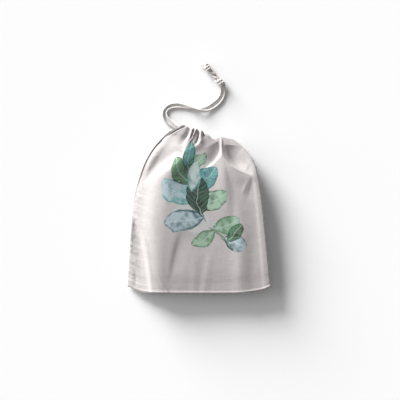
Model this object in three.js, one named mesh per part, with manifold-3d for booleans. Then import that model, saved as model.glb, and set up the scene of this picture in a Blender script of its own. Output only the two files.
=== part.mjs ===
// A small cotton drawstring bag lying on its back, drawn shut at the top left, with its cord laid out
// and knotted. Millimetres, +Z up from the surface, +Y towards the mouth, +X to the right of the front.
import * as THREE from "three";
import { mergeVertices } from "three/addons/utils/BufferGeometryUtils.js";
import Module from "manifold-3d";

// Cloth and cord
const CLOTH = 1.2; // thickness of the cotton, nap and all
const CORD = 3.8; // diameter of the soft cord
const CLEAR = 0.65; // air between cord and cloth inside the hem
const HEM_DEPTH = 16; // the turned hem that carries the cord
const MOUTH_GAP = 4.8; // what is left open between the two hems
const LIP = 2.4; // how far the rolled edge of the front hem stands out past the gathered line
const BACK_LIP = 1.4; // the same for the hem underneath

// Levels in the drawn mouth, from the surface up
const BACK_REST = CLOTH / 2;
const BACK_CORD = CLOTH + CLEAR + CORD / 2;
const BACK_HEM = BACK_CORD + CORD / 2 + CLEAR + CLOTH / 2;
const FRONT_HEM = BACK_HEM + CLOTH + MOUTH_GAP;
const FRONT_CORD = FRONT_HEM + CLOTH / 2 + CLEAR + CORD / 2;
const FRONT_CASING = FRONT_CORD + CORD / 2 + CLEAR + CLOTH / 2;
const LOWEST_FRONT = 9; // no fold of the front drops below this, so the bag stays open inside

// Where the hem's parts begin and end, as shares up the panel and across it
const HEM_FROM = { low: 0.91, full: 0.94 }; // the front rises over the cord between these
const CORD_TURN = { low: 0.84, full: 0.95 }; // the front comes down to the right seam between these
const HEM_LEFT = { low: -0.02, full: 0.06 }; // the folded-back cloth begins here
const HEM_RIGHT = { low: 0.62, full: 0.78 }; // and runs out here, where the cord turns through it
const HEM_LEAST = 0.1; // share of its depth left at its ends
const BELOW_MOUTH = 0.95; // the line that tells which way the mouth faces

// Side seams from the bottom corner up. up is the share of the seam's length, front and back the heights of
// the two panels' edges there: the left seam opens to let the cord out.
const LEFT_SEAM = [
  { up: 0, x: -125, y: -132.8, front: 5.8, back: 4.2 },
  { up: 0.14, x: -122.5, y: -91, front: 6.3, back: 4.7 },
  { up: 0.29, x: -119.5, y: -44, front: 6.8, back: 5.2 },
  { up: 0.48, x: -113, y: 17, front: 7.3, back: 5.7 },
  { up: 0.6, x: -104, y: 51, front: 7.4, back: 5.6 },
  { up: 0.7, x: -93.5, y: 80, front: 7.5, back: 5.5 },
  { up: 0.82, x: -75, y: 110.5, front: 8.2, back: 6.1 },
  { up: 0.88, x: -62, y: 124, front: 11, back: 6.4 },
  { up: 0.915, x: -54, y: 132.5, front: 15.5, back: 5.6 },
  { up: 0.945, x: -45.8, y: 139.3, front: 21.4, back: 0.6 },
  { up: 1, x: -29.3, y: 147.8, front: 21, back: 0.6 },
];
const RIGHT_SEAM = [
  { up: 0, x: 125, y: -132.8, front: 7.8, back: 6.2 },
  { up: 0.23, x: 119, y: -72, front: 10.8, back: 9.2 },
  { up: 0.36, x: 115.5, y: -37, front: 11.8, back: 10.2 },
  { up: 0.54, x: 110, y: 12, front: 12.3, back: 10.7 },
  { up: 0.67, x: 105, y: 47, front: 12.3, back: 10.7 },
  { up: 0.76, x: 99.5, y: 71.5, front: 12.3, back: 10.7 },
  { up: 0.84, x: 92, y: 89, front: 12.3, back: 10.7 },
  { up: 0.94, x: 74.5, y: 111.5, front: 12.3, back: 10.7 },
  { up: 1, x: 60, y: 122.5, front: 12.3, back: 10.7 },
];

// Bottom seam and gathered mouth from left to right, in plan.
const BOTTOM_SEAM = [
  { across: 0, x: -125, y: -132.8 },
  { across: 0.06, x: -110, y: -140 },
  { across: 0.14, x: -92, y: -144.2 },
  { across: 0.4, x: -20, y: -146 },
  { across: 0.74, x: 61, y: -145.6 },
  { across: 0.9, x: 101, y: -141.4 },
  { across: 0.97, x: 117, y: -137 },
  { across: 1, x: 125, y: -132.8 },
];
const MOUTH = [
  { across: 0, x: -29.3, y: 147.8 },
  { across: 0.14, x: -16, y: 141.6 },
  { across: 0.3, x: -2.5, y: 137.6 },
  { across: 0.45, x: 12, y: 130.5 },
  { across: 0.58, x: 25.5, y: 122.4 },
  { across: 0.7, x: 37.5, y: 125.8 },
  { across: 0.86, x: 49, y: 124.6 },
  { across: 1, x: 60, y: 122.5 },
];

// The front panel's cross-section from left seam to right seam. place is the share of the way in plan,
// rise the share of the way up from the seams to the crown. The right side falls almost straight down.
const FRONT_ACROSS = [
  { across: 0, place: 0, rise: 0 },
  { across: 0.022, place: 0.015, rise: 0.08 },
  { across: 0.06, place: 0.047, rise: 0.24 },
  { across: 0.1, place: 0.08, rise: 0.42 },
  { across: 0.145, place: 0.118, rise: 0.64 },
  { across: 0.19, place: 0.155, rise: 0.82 },
  { across: 0.24, place: 0.2, rise: 0.95 },
  { across: 0.29, place: 0.25, rise: 1.01 },
  { across: 0.36, place: 0.32, rise: 1 },
  { across: 0.46, place: 0.43, rise: 0.95 },
  { across: 0.56, place: 0.55, rise: 0.92 },
  { across: 0.68, place: 0.69, rise: 0.93 },
  { across: 0.77, place: 0.79, rise: 0.95 },
  { across: 0.85, place: 0.89, rise: 0.94 },
  { across: 0.885, place: 0.935, rise: 0.95 },
  { across: 0.915, place: 0.97, rise: 1.01 },
  { across: 0.933, place: 0.992, rise: 1 },
  { across: 0.95, place: 0.997, rise: 0.76 },
  { across: 0.975, place: 0.9985, rise: 0.36 },
  { across: 0.99, place: 0.9995, rise: 0.07 },
  { across: 1, place: 1, rise: 0 },
];
// The same from the bottom seam to the mouth, with the crown's height above the surface.
const FRONT_UP = [
  { up: 0, place: 0, rise: 0, crown: 28 },
  { up: 0.008, place: 0.001, rise: 0.12, crown: 28 },
  { up: 0.024, place: 0.002, rise: 0.5, crown: 28 },
  { up: 0.04, place: 0.003, rise: 0.84, crown: 28 },
  { up: 0.048, place: 0.0055, rise: 1.01, crown: 28.2 },
  { up: 0.053, place: 0.009, rise: 1.045, crown: 28.3 },
  { up: 0.061, place: 0.015, rise: 1.01, crown: 28.4 },
  { up: 0.075, place: 0.028, rise: 0.985, crown: 28.8 },
  { up: 0.11, place: 0.062, rise: 0.985, crown: 29.4 },
  { up: 0.17, place: 0.12, rise: 1, crown: 30.5 },
  { up: 0.3, place: 0.265, rise: 1, crown: 32 },
  { up: 0.55, place: 0.54, rise: 1, crown: 33.5 },
  { up: 0.75, place: 0.75, rise: 1, crown: 32 },
  { up: 0.88, place: 0.88, rise: 1, crown: 27 },
  { up: 0.95, place: 0.95, rise: 1, crown: 24.5 },
  { up: 1, place: 1, rise: 1, crown: 22.5 },
];
// The back panel lies flat and turns up only along its edges. bulge is how far it shows past the left seam
// and lip how far it rolls up there.
const BACK_ACROSS = [
  { across: 0, lift: 1, bulge: 0, lip: 0 },
  { across: 0.008, lift: 0.99, bulge: 3.6, lip: 0.35 },
  { across: 0.018, lift: 0.92, bulge: 5.8, lip: 1 },
  { across: 0.03, lift: 0.7, bulge: 6.4, lip: 0 },
  { across: 0.045, lift: 0.42, bulge: 5, lip: 0 },
  { across: 0.065, lift: 0.2, bulge: 2.4, lip: 0 },
  { across: 0.11, lift: 0, bulge: 0, lip: 0 },
  { across: 0.89, lift: 0, bulge: 0, lip: 0 },
  { across: 0.935, lift: 0.2, bulge: 0, lip: 0 },
  { across: 0.965, lift: 0.6, bulge: 0, lip: 0 },
  { across: 0.988, lift: 0.97, bulge: 0, lip: 0 },
  { across: 1, lift: 1, bulge: 0, lip: 0 },
];
const BULGE_WAY = { x: -0.85, y: 0.5 };
const BACK_UP = [
  { up: 0, lift: 1, bulge: 0, lip: 0 },
  { up: 0.01, lift: 0.97, bulge: 0, lip: 0 },
  { up: 0.03, lift: 0.55, bulge: 0, lip: 0 },
  { up: 0.06, lift: 0.15, bulge: 0, lip: 0 },
  { up: 0.1, lift: 0, bulge: 0, lip: 0 },
  { up: 0.38, lift: 0, bulge: 0, lip: 0 },
  { up: 0.44, lift: 0, bulge: 0.5, lip: 0 },
  { up: 0.5, lift: 0, bulge: 0.92, lip: 0 },
  { up: 0.58, lift: 0, bulge: 1, lip: 1.2 },
  { up: 0.66, lift: 0, bulge: 1, lip: 2.5 },
  { up: 0.84, lift: 0, bulge: 1, lip: 2.6 },
  { up: 0.91, lift: 0, bulge: 0.98, lip: 0.8 },
  { up: 0.94, lift: 0, bulge: 0.75, lip: 0 },
  { up: 1, lift: 0, bulge: 0, lip: 0 },
];

// Main folds of the front, each a soft ridge (+) or trough (-) along a bent line from a by way of b to c.
// lift is its height at a, b and c, and left and right its half-widths on the two sides at a and at c.
const FOLDS = [
  {
    name: "shoulder roll", a: [-37, 129], b: [-80, 114], c: [-98, 49],
    lift: [0.5, 5.2, 1], left: [8, 8], right: [8, 8],
  },
  {
    name: "left hollow", a: [-37, 108], b: [-58, 86], c: [-93, 56],
    lift: [0, -15, -2], left: [9, 6], right: [12, 15],
  },
  {
    name: "sweeping ridge", a: [-23, 107], b: [-26, 78], c: [-86, 49],
    lift: [3, 7.2, 1], left: [15, 24], right: [5, 8],
  },
  {
    name: "pleat valley, first", a: [-16, 140], b: [-18, 128], c: [-28, 116],
    lift: [-3.5, -8, -1.5], left: [2.4, 3], right: [4, 8],
  },
  {
    name: "pleat valley, second", a: [-10, 138], b: [-10, 133], c: [-14, 125],
    lift: [-3.5, -7, -0.5], left: [2, 2], right: [2, 2],
  },
  {
    name: "pleat ridge, first", a: [-6, 140], b: [-11, 126], c: [-24, 108],
    lift: [3, 1.6, 2.4], left: [2.4, 3], right: [2.4, 2.6],
  },
  {
    name: "pleat valley, third", a: [-2, 138], b: [0, 129], c: [-5, 118],
    lift: [-3.5, -7.5, -2.5], left: [2, 2.2], right: [2, 2.2],
  },
  {
    name: "pleat ridge, second", a: [2, 140], b: [3, 129], c: [3, 120],
    lift: [3.4, 3, 2.6], left: [2.4, 4], right: [2.4, 2.4],
  },
  {
    name: "pleat ridge, tail", a: [3, 121], b: [0, 109], c: [-24, 105],
    lift: [2, 1.8, 2.4], left: [6, 10], right: [2.4, 2.6],
  },
  {
    name: "pleat valley, fourth", a: [8, 138], b: [7, 132], c: [11, 126],
    lift: [-3.5, -6.5, -0.5], left: [2, 2], right: [2, 2],
  },
  {
    name: "dark pocket", a: [33, 120], b: [45, 96], c: [10, 73],
    lift: [0, -13.8, -0.4], left: [2.4, 2.4], right: [13, 14],
  },
  {
    name: "standing ridge", a: [39, 124], b: [38, 110], c: [40, 94],
    lift: [0.8, 4.3, 2.6], left: [2.6, 3], right: [2.6, 2.6],
  },
  {
    name: "standing ridge, left arm", a: [40, 94], b: [35, 86], c: [12, 67],
    lift: [2.6, 1.3, 0.3], left: [22, 26], right: [3, 3],
  },
  {
    name: "light band", a: [41, 87], b: [41, 47], c: [49, -21],
    lift: [1.4, 5.9, 1.2], left: [7, 14], right: [11, 12],
  },
  {
    name: "standing ridge, right arm", a: [41, 100], b: [43, 74], c: [87, 60],
    lift: [2.6, 2.8, 2.2], left: [3, 4], right: [20, 20],
  },
  {
    name: "right hollow", a: [52, 114], b: [46, 89], c: [82, 72],
    lift: [-1, -17.5, -2], left: [14, 12], right: [8, 5],
  },
  {
    name: "right shoulder", a: [77, 112], b: [96, 100], c: [101, 52],
    lift: [1, 5.2, 0.6], left: [6, 5], right: [20, 16],
  },
  {
    name: "elbow crest", a: [89, 59], b: [83, 46], c: [73, 23],
    lift: [0.4, 2.2, 0], left: [3, 3], right: [3.5, 6],
  },
  {
    name: "elbow wedge", a: [93, 56], b: [91, 41], c: [81, 16],
    lift: [-0.2, -1.7, 0], left: [6, 7], right: [3.2, 4],
  },
  {
    name: "low valley", a: [-26, -35], b: [-40, -68], c: [-48, -122],
    lift: [0, -3.3, -0.2], left: [16, 15], right: [7, 5.5],
  },
  {
    name: "flank trough", a: [-116, -10], b: [-95, -60], c: [-89, -142],
    lift: [0, -12, -5.5], left: [5, 6], right: [13, 18],
  },
  {
    name: "flank crest", a: [-110, -14], b: [-91, -60], c: [-84, -142],
    lift: [0.6, 2.6, 1.2], left: [5, 6], right: [4, 4],
  },
  {
    name: "flank swell", a: [-82, 35], b: [-79, -52], c: [-68, -142],
    lift: [0, 1.5, 1], left: [12, 12], right: [10, 10],
  },
  {
    name: "long soft ridge", a: [45, 24], b: [67, -81], c: [66, -142],
    lift: [0.6, 3.5, 1.2], left: [11, 11], right: [11, 9],
  },
];

// Drawcord: the stretch held in both hems, and the two tails up to where they are twisted together.
const HELD_ROUTE = [
  [-30.4, 141.8, FRONT_CORD], [-26.6, 138.4, FRONT_CORD], [-19.6, 135.6, FRONT_CORD], [-11, 133.4, FRONT_CORD],
  [-1.6, 129.6, FRONT_CORD], [8.4, 124.4, FRONT_CORD], [18.6, 119, FRONT_CORD], [28, 116.6, FRONT_CORD],
  [38, 118, FRONT_CORD], [47.4, 117.6, FRONT_CORD], [54.6, 113.6, 13.6], [57, 107.6, 9.6], [52.4, 102.2, 5.6],
  [44.6, 100.8, 3.9], [34, 103.6, 3.85], [22, 109.4, BACK_CORD], [8, 117.4, BACK_CORD],
  [-6, 124.6, BACK_CORD], [-20, 130, BACK_CORD], [-29.4, 134.2, BACK_CORD], [-34.6, 138.2, 3.85],
];
const UPPER_TAIL = [
  [-30.75, 142.12, FRONT_CORD], [-34.4, 145.3, FRONT_CORD], [-38.6, 149, 13], [-42.6, 152.4, 8.4],
  [-49, 157.2, 4.2], [-54.8, 163.4, 2.6], [-56.8, 169.8, 1.95], [-53.6, 175.6, 1.95], [-46.4, 178.8, 1.95],
  [-36.7, 179.8, 1.95], [-26.2, 178.8, 1.95], [-15.7, 177.3, 1.95], [-3.5, 176.7, 1.95], [7.4, 178.6, 1.95],
  [17, 182.6, 1.95], [25, 188.4, 1.95], [32.6, 194.6, 1.95], [37.2, 202.4, 1.95], [39, 211, 2.4],
];
const LOWER_TAIL = [
  [-34.95, 138.47, 3.85], [-38.6, 141.2, 3.85], [-47.4, 147, 2.8], [-55.6, 152.4, 1.95], [-62, 160.6, 1.95],
  [-63.4, 170.4, 1.95], [-59.4, 179, 1.95], [-51.4, 184.6, 1.95], [-40.8, 186.6, 1.95], [-29.7, 185.4, 2.7],
  [-19.2, 182.2, 5.4], [-8.7, 178.2, 7.5], [1.7, 175, 7.5], [12.2, 173.8, 4.6], [22.7, 176.6, 2.5],
  [31.8, 182.8, 1.95], [38.8, 189.8, 1.95], [43.4, 197.6, 1.95], [45.2, 205, 2], [45.2, 213.6, 3.6],
];
// The twisted stretch: both tails wind about one and a half times round one straight axis. Where it starts, the
// lower tail goes once right round the upper one in a half hitch: it swings out there and the pair rises.
const TWIST = { from: [40.2, 219.6], to: [18.6, 245], height: 4.6, radius: 2.3, turns: 1.6 };
const HITCH = { turn: { low: 0.02, full: 0.3 }, settle: { low: 0.33, full: 0.42 }, out: 2.4, in: 2.2, lift: 2.1 };

// Knot: a squat ball with a flat face towards the tails, one wrap around it and two short free ends.
const KNOT = { length: 14, radius: 5.2, wrap: 1.7, gap: 1.6 };
const KNOT_END_1 = [[11.4, 255.4, 5.6], [10.8, 259.4, 4.2], [9.2, 262.2, 2.4]];
const KNOT_END_2 = [[8.6, 253.6, 5.4], [4.8, 252.9, 3.8], [2.2, 252.4, 2.3]];

const cotton = new THREE.MeshStandardMaterial({ color: 0xd6d1cf, roughness: 0.95, metalness: 0 });
const cottonBack = new THREE.MeshStandardMaterial({ color: 0xcbc6c3, roughness: 0.95, metalness: 0 });
const cordCotton = new THREE.MeshStandardMaterial({ color: 0xdad6d2, roughness: 0.9, metalness: 0 });

// A column's smooth value between the rows of a table: a cubic whose slopes follow the rows around it,
// and which never swings past them.
function read(table, key, column, at) {
  const last = table.length - 1;
  let i = 0;
  while (i < last - 1 && at > table[i + 1][key]) i++;
  const chord = (k) => (table[k + 1][column] - table[k][column]) / (table[k + 1][key] - table[k][key]);
  const slope = (k) => {
    const before = chord(Math.max(k - 1, 0));
    const after = chord(Math.min(k, last - 1));
    if (before * after <= 0) return 0;
    const most = 3 * Math.min(Math.abs(before), Math.abs(after));
    return Math.sign(after) * Math.min(Math.abs(before + after) / 2, most);
  };
  const width = table[i + 1][key] - table[i][key];
  const t = (at - table[i][key]) / width;
  const s = t * t * (3 - 2 * t);
  const start = slope(i) * width * t * (1 - t) * (1 - t);
  const end = -slope(i + 1) * width * t * t * (1 - t);
  return table[i][column] * (1 - s) + table[i + 1][column] * s + start + end;
}

// Where the cloth at a share across and a share up lies in plan: the surface blended from the bag's four edges.
function plan(across, up) {
  const point = {};
  for (const axis of ["x", "y"]) {
    const sides =
      (1 - across) * read(LEFT_SEAM, "up", axis, up) + across * read(RIGHT_SEAM, "up", axis, up);
    const ends =
      (1 - up) * read(BOTTOM_SEAM, "across", axis, across) + up * read(MOUTH, "across", axis, across);
    const corners =
      (1 - up) * ((1 - across) * BOTTOM_SEAM[0][axis] + across * BOTTOM_SEAM.at(-1)[axis]) +
      up * ((1 - across) * MOUTH[0][axis] + across * MOUTH.at(-1)[axis]);
    point[axis] = sides + ends - corners;
  }
  return point;
}

// Height of a panel's sewn edge line, blended from seam to seam.
function edgeHeight(across, up, panel) {
  return (1 - across) * read(LEFT_SEAM, "up", panel, up) + across * read(RIGHT_SEAM, "up", panel, up);
}

const FOLD_STEPS = 14;
const foldLines = FOLDS.map((fold) => {
  const [a, b, c] = [fold.a, fold.b, fold.c].map(([x, y]) => new THREE.Vector2(x, y));
  return { fold, points: new THREE.QuadraticBezierCurve(a, b, c).getPoints(FOLD_STEPS) };
});

// Height that the folds add at a place in plan. Each fades with the square of the distance from its line,
// and where two ridges or two troughs meet, the larger one rules.
function foldLift(x, y) {
  let ridges = 0;
  let troughs = 0;
  for (const { fold, points } of foldLines) {
    let nearest = Infinity;
    let along = 0;
    let side = 0;
    for (let i = 0; i < FOLD_STEPS; i++) {
      const step = points[i + 1].clone().sub(points[i]);
      const to = new THREE.Vector2(x, y).sub(points[i]);
      const share = THREE.MathUtils.clamp(to.dot(step) / step.lengthSq(), 0, 1);
      const turn = step.clone().normalize().cross(to);
      const distance = to.distanceTo(step.multiplyScalar(share));
      if (distance < nearest) {
        nearest = distance;
        along = (i + share) / FOLD_STEPS;
        side = THREE.MathUtils.clamp(turn / Math.max(distance, 1e-6), -1, 1);
      }
    }
    const [first, middle, end] = fold.lift;
    const lift = (1 - along) ** 2 * first + 2 * along * (1 - along) * middle + along ** 2 * end;
    const left = (1 - along) * fold.left[0] + along * fold.left[1];
    const right = (1 - along) * fold.right[0] + along * fold.right[1];
    const wide = (left + right) / 2 + (side * (left - right)) / 2;
    const height = lift * Math.exp(-((nearest / wide) ** 2));
    if (height > 0) ridges += height ** 3;
    else troughs -= height ** 3;
  }
  return Math.cbrt(ridges) - Math.cbrt(troughs);
}

const within = (share, range) => THREE.MathUtils.smoothstep(share, range.low, range.full);

// The larger of two heights with the corner between them rounded off.
function softMax(a, b, round) {
  const mix = THREE.MathUtils.clamp(0.5 + (a - b) / (2 * round), 0, 1);
  return b + (a - b) * mix + round * mix * (1 - mix);
}

// 0 along the three sewn edges and 1 from 9 mm inside them, so that no fold crosses a seam.
const OFF_LEFT = { low: 0, full: 0.036 };
const OFF_RIGHT = { low: 0.964, full: 1 };
const OFF_BOTTOM = { low: 0.03, full: 0.05 };
const offSeams = (across, up) =>
  within(across, OFF_LEFT) * (1 - within(across, OFF_RIGHT)) * within(up, OFF_BOTTOM);

// Height of the front panel's middle layer. Inside the hem it never drops onto the cord.
function frontHeight(across, up) {
  const rise = read(FRONT_ACROSS, "across", "rise", across) * read(FRONT_UP, "up", "rise", up);
  const edge = edgeHeight(across, up, "front");
  const { x, y } = frontPlan(across, up);
  const folds = foldLift(x, y) * offSeams(across, up);
  const free = edge + (read(FRONT_UP, "up", "crown", up) - edge) * rise + folds;
  const onCord = within(up, HEM_FROM) * (1 - within(across, CORD_TURN));
  const lowest = THREE.MathUtils.lerp(Math.min(edge, LOWEST_FRONT), FRONT_CASING, onCord);
  return softMax(free, lowest, THREE.MathUtils.lerp(0.01, CLOTH, onCord));
}

function frontPlan(across, up) {
  return plan(read(FRONT_ACROSS, "across", "place", across), read(FRONT_UP, "up", "place", up));
}

function backHeight(across, up) {
  const sideLift = read(BACK_ACROSS, "across", "lift", across);
  const endLift = read(BACK_UP, "up", "lift", up);
  const lift = 1 - (1 - sideLift) * (1 - endLift);
  const lip = read(BACK_ACROSS, "across", "lip", across) * read(BACK_UP, "up", "lip", up);
  return BACK_REST + (edgeHeight(across, up, "back") - BACK_REST) * lift + lip;
}

function backPlan(across, up) {
  const point = plan(across, up);
  const out = read(BACK_ACROSS, "across", "bulge", across) * read(BACK_UP, "up", "bulge", up);
  return { x: point.x + out * BULGE_WAY.x, y: point.y + out * BULGE_WAY.y };
}

// Steps of the turned hem after the mouth: the curl as an angle, then the depth of cloth folded back inside.
const HEM_STEPS = [
  { curl: 50, depth: 0 },
  { curl: 90, depth: 0 },
  { curl: 130, depth: 0 },
  { curl: 180, depth: 0 },
  { curl: 180, depth: 0.36 },
  { curl: 180, depth: 0.7 },
  { curl: 180, depth: 1 },
];

// One panel as a grid of points: its ups from bottom to mouth, then the hem rolled round and folded back.
function panelGrid(acrosses, ups, planOf, heightOf, hemLevel, lip) {
  const rows = ups.map((up) =>
    acrosses.map((across) => {
      const { x, y } = planOf(across, up);
      return new THREE.Vector3(x, y, heightOf(across, up));
    }),
  );
  const top = rows.at(-1);
  const outward = acrosses.map((across, i) => {
    const below = planOf(across, BELOW_MOUTH);
    return new THREE.Vector3(top[i].x - below.x, top[i].y - below.y, 0).normalize();
  });
  for (const { curl, depth } of HEM_STEPS) {
    const angle = THREE.MathUtils.degToRad(curl);
    rows.push(
      acrosses.map((across, i) => {
        const deep = within(across, HEM_LEFT) * (1 - within(across, HEM_RIGHT));
        const back = depth * HEM_DEPTH * THREE.MathUtils.lerp(HEM_LEAST, 1, deep);
        const half = (top[i].z - hemLevel) / 2;
        return top[i]
          .clone()
          .addScaledVector(outward[i], lip * Math.sin(angle) - back)
          .setZ(hemLevel + half + half * Math.cos(angle));
      }),
    );
  }
  return rows;
}

// A closed sheet of the cloth's thickness around a grid of points.
function sheet(rows) {
  const high = rows.length;
  const wide = rows[0].length;
  const positions = [];
  for (const side of [1, -1]) {
    for (let j = 0; j < high; j++) {
      for (let i = 0; i < wide; i++) {
        const alongU = rows[j][Math.min(i + 1, wide - 1)].clone().sub(rows[j][Math.max(i - 1, 0)]);
        const alongV = rows[Math.min(j + 1, high - 1)][i].clone().sub(rows[Math.max(j - 1, 0)][i]);
        const normal = alongU.cross(alongV).normalize();
        const p = rows[j][i].clone().addScaledVector(normal, (side * CLOTH) / 2);
        positions.push(p.x, p.y, p.z);
      }
    }
  }
  const at = (side, j, i) => side * high * wide + j * wide + i;
  const index = [];
  const quad = (a, b, c, d) => index.push(a, b, c, a, c, d);
  for (let j = 0; j < high - 1; j++) {
    for (let i = 0; i < wide - 1; i++) {
      quad(at(0, j, i), at(0, j, i + 1), at(0, j + 1, i + 1), at(0, j + 1, i));
      quad(at(1, j, i), at(1, j + 1, i), at(1, j + 1, i + 1), at(1, j, i + 1));
    }
    quad(at(0, j, 0), at(0, j + 1, 0), at(1, j + 1, 0), at(1, j, 0));
    quad(at(0, j, wide - 1), at(1, j, wide - 1), at(1, j + 1, wide - 1), at(0, j + 1, wide - 1));
  }
  for (let i = 0; i < wide - 1; i++) {
    quad(at(0, 0, i), at(1, 0, i), at(1, 0, i + 1), at(0, 0, i + 1));
    quad(at(0, high - 1, i), at(0, high - 1, i + 1), at(1, high - 1, i + 1), at(1, high - 1, i));
  }
  const geometry = new THREE.BufferGeometry();
  geometry.setAttribute("position", new THREE.Float32BufferAttribute(positions, 3));
  geometry.setIndex(index);
  geometry.computeVertexNormals();
  return geometry;
}

const shares = (first, last, count) =>
  Array.from({ length: count }, (_, i) => first + ((last - first) * i) / (count - 1));

const FRONT_ACROSSES = [0, 0.012, 0.03, 0.055, ...shares(0.085, 0.9, 33), 0.925, 0.94, 0.96, 0.98, 1];
const FRONT_UPS = [0, 0.012, 0.028, 0.044, 0.056, 0.09, ...shares(0.14, 0.66, 9), ...shares(0.7, 1, 13)];
const BACK_ACROSSES = [
  0, 0.008, 0.018, 0.03, 0.045, 0.065, 0.11, ...shares(0.18, 0.82, 10), 0.89, 0.935, 0.965, 0.988, 1,
];
const BACK_UPS = [
  0, 0.01, 0.03, 0.06, 0.1, 0.2, 0.33, ...shares(0.42, 0.82, 6), 0.88, 0.92, 0.94, 0.963, 0.98, 1,
];

function round(diameter, sides) {
  const corners = shares(0, 2 * Math.PI, sides + 1).slice(0, -1);
  return new THREE.Shape(
    corners.map((a) => new THREE.Vector2(Math.cos(a), Math.sin(a)).multiplyScalar(diameter / 2)),
  );
}

// A cord through its route's points.
function cordAlong(points, steps, diameter = CORD, sides = 10) {
  const path = new THREE.CatmullRomCurve3(points.map((p) => new THREE.Vector3(...p)), false, "centripetal");
  return new THREE.ExtrudeGeometry(round(diameter, sides), { steps, extrudePath: path, bevelEnabled: false });
}

// The twisted stretch of one tail: phase 0 starts on the right of the axis, half a turn on the left. In the
// half hitch the tail that hitches takes one more turn, and the other keeps to the middle.
function twisted(phase, hitches) {
  const from = new THREE.Vector2(...TWIST.from);
  const to = new THREE.Vector2(...TWIST.to);
  const right = to.clone().sub(from).normalize().rotateAround(new THREE.Vector2(), -Math.PI / 2);
  return shares(0, 1, 41).map((share) => {
    const swell = 1 - within(share, HITCH.settle);
    const radius = TWIST.radius + (hitches ? HITCH.out : -HITCH.in) * swell;
    const extra = hitches ? within(share, HITCH.turn) : 0;
    const angle = 2 * Math.PI * (phase + TWIST.turns * share + extra);
    const p = from.clone().lerp(to, share).addScaledVector(right, radius * Math.cos(angle));
    return [p.x, p.y, TWIST.height + HITCH.lift * swell + radius * Math.sin(angle)];
  });
}

const wasm = await Module();
wasm.setup();

function solid(geometry) {
  const bare = geometry.clone();
  bare.deleteAttribute("normal");
  bare.deleteAttribute("uv");
  const merged = mergeVertices(bare, 1e-4);
  return new wasm.Manifold(
    new wasm.Mesh({
      numProp: 3,
      vertProperties: new Float32Array(merged.attributes.position.array),
      triVerts: new Uint32Array(merged.index.array),
    }),
  );
}

function geometryOf(made) {
  const { vertProperties, triVerts } = made.getMesh();
  const geometry = new THREE.BufferGeometry();
  geometry.setAttribute("position", new THREE.Float32BufferAttribute(vertProperties, 3));
  geometry.setIndex(new THREE.BufferAttribute(triVerts, 1));
  geometry.computeVertexNormals();
  return geometry;
}

// The knot is turned about its own axis, then laid along the twisted tails with its flat face to them.
function knotGeometry() {
  const profile = [new THREE.Vector2(0, 0)];
  for (const share of shares(0, 1, 7)) {
    const angle = THREE.MathUtils.lerp(THREE.MathUtils.degToRad(-53), Math.PI / 2, share);
    const along = KNOT.length * (0.44 + 0.56 * Math.sin(angle));
    profile.push(new THREE.Vector2(KNOT.radius * Math.cos(angle), Math.max(along, 0)));
  }
  profile.at(-1).x = 0;
  const ball = new THREE.LatheGeometry(profile, 14);
  const ring = KNOT.radius - 0.5;
  const wrap = new THREE.TorusGeometry(ring, KNOT.wrap, 8, 14);
  wrap.rotateX(Math.PI / 2 + 0.35);
  wrap.translate(0, KNOT.length * 0.5, 0);
  const rest = ring + KNOT.wrap + 0.05;
  const from = new THREE.Vector3(...TWIST.from, rest);
  const to = new THREE.Vector3(...TWIST.to, rest);
  const along = to.clone().sub(from).normalize();
  const lie = new THREE.Matrix4().makeRotationFromQuaternion(
    new THREE.Quaternion().setFromUnitVectors(new THREE.Vector3(0, 1, 0), along),
  );
  lie.setPosition(to.addScaledVector(along, KNOT.gap));
  const body = solid(ball.applyMatrix4(lie)).add(solid(wrap.applyMatrix4(lie)));
  const ends = [KNOT_END_1, KNOT_END_2].map((points) => solid(cordAlong(points, 4, CORD - 0.6, 8)));
  return geometryOf(body.add(ends[0]).add(ends[1]));
}

const bag = new THREE.Group();

function piece(name, geometry, material) {
  const mesh = new THREE.Mesh(geometry, material);
  mesh.name = name;
  bag.add(mesh);
}

piece(
  "front_panel",
  sheet(panelGrid(FRONT_ACROSSES, FRONT_UPS, frontPlan, frontHeight, FRONT_HEM, LIP)),
  cotton,
);
piece(
  "back_panel",
  sheet(panelGrid(BACK_ACROSSES, BACK_UPS, backPlan, backHeight, BACK_HEM, BACK_LIP)),
  cottonBack,
);
piece("drawcord_in_hems", cordAlong(HELD_ROUTE, 26), cordCotton);
piece("drawcord_upper_tail", cordAlong([...UPPER_TAIL, ...twisted(0.5, false)], 100), cordCotton);
piece("drawcord_lower_tail", cordAlong([...LOWER_TAIL, ...twisted(0, true)], 150), cordCotton);
piece("knot", knotGeometry(), cordCotton);

export default bag;
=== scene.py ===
import math

import bpy
import numpy as np
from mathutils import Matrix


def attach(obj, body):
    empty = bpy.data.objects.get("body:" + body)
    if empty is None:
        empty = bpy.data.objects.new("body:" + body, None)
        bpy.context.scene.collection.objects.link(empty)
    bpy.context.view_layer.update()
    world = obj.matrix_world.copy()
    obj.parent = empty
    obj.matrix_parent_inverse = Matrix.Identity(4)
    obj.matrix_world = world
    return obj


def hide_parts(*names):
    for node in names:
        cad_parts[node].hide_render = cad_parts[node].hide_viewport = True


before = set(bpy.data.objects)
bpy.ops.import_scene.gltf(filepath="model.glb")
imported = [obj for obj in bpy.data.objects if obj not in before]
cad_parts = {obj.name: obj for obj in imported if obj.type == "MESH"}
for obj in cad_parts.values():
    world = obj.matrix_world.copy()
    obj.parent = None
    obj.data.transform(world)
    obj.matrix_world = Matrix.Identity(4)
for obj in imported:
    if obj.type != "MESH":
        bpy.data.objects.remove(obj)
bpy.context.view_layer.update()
MM = 0.001

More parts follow.
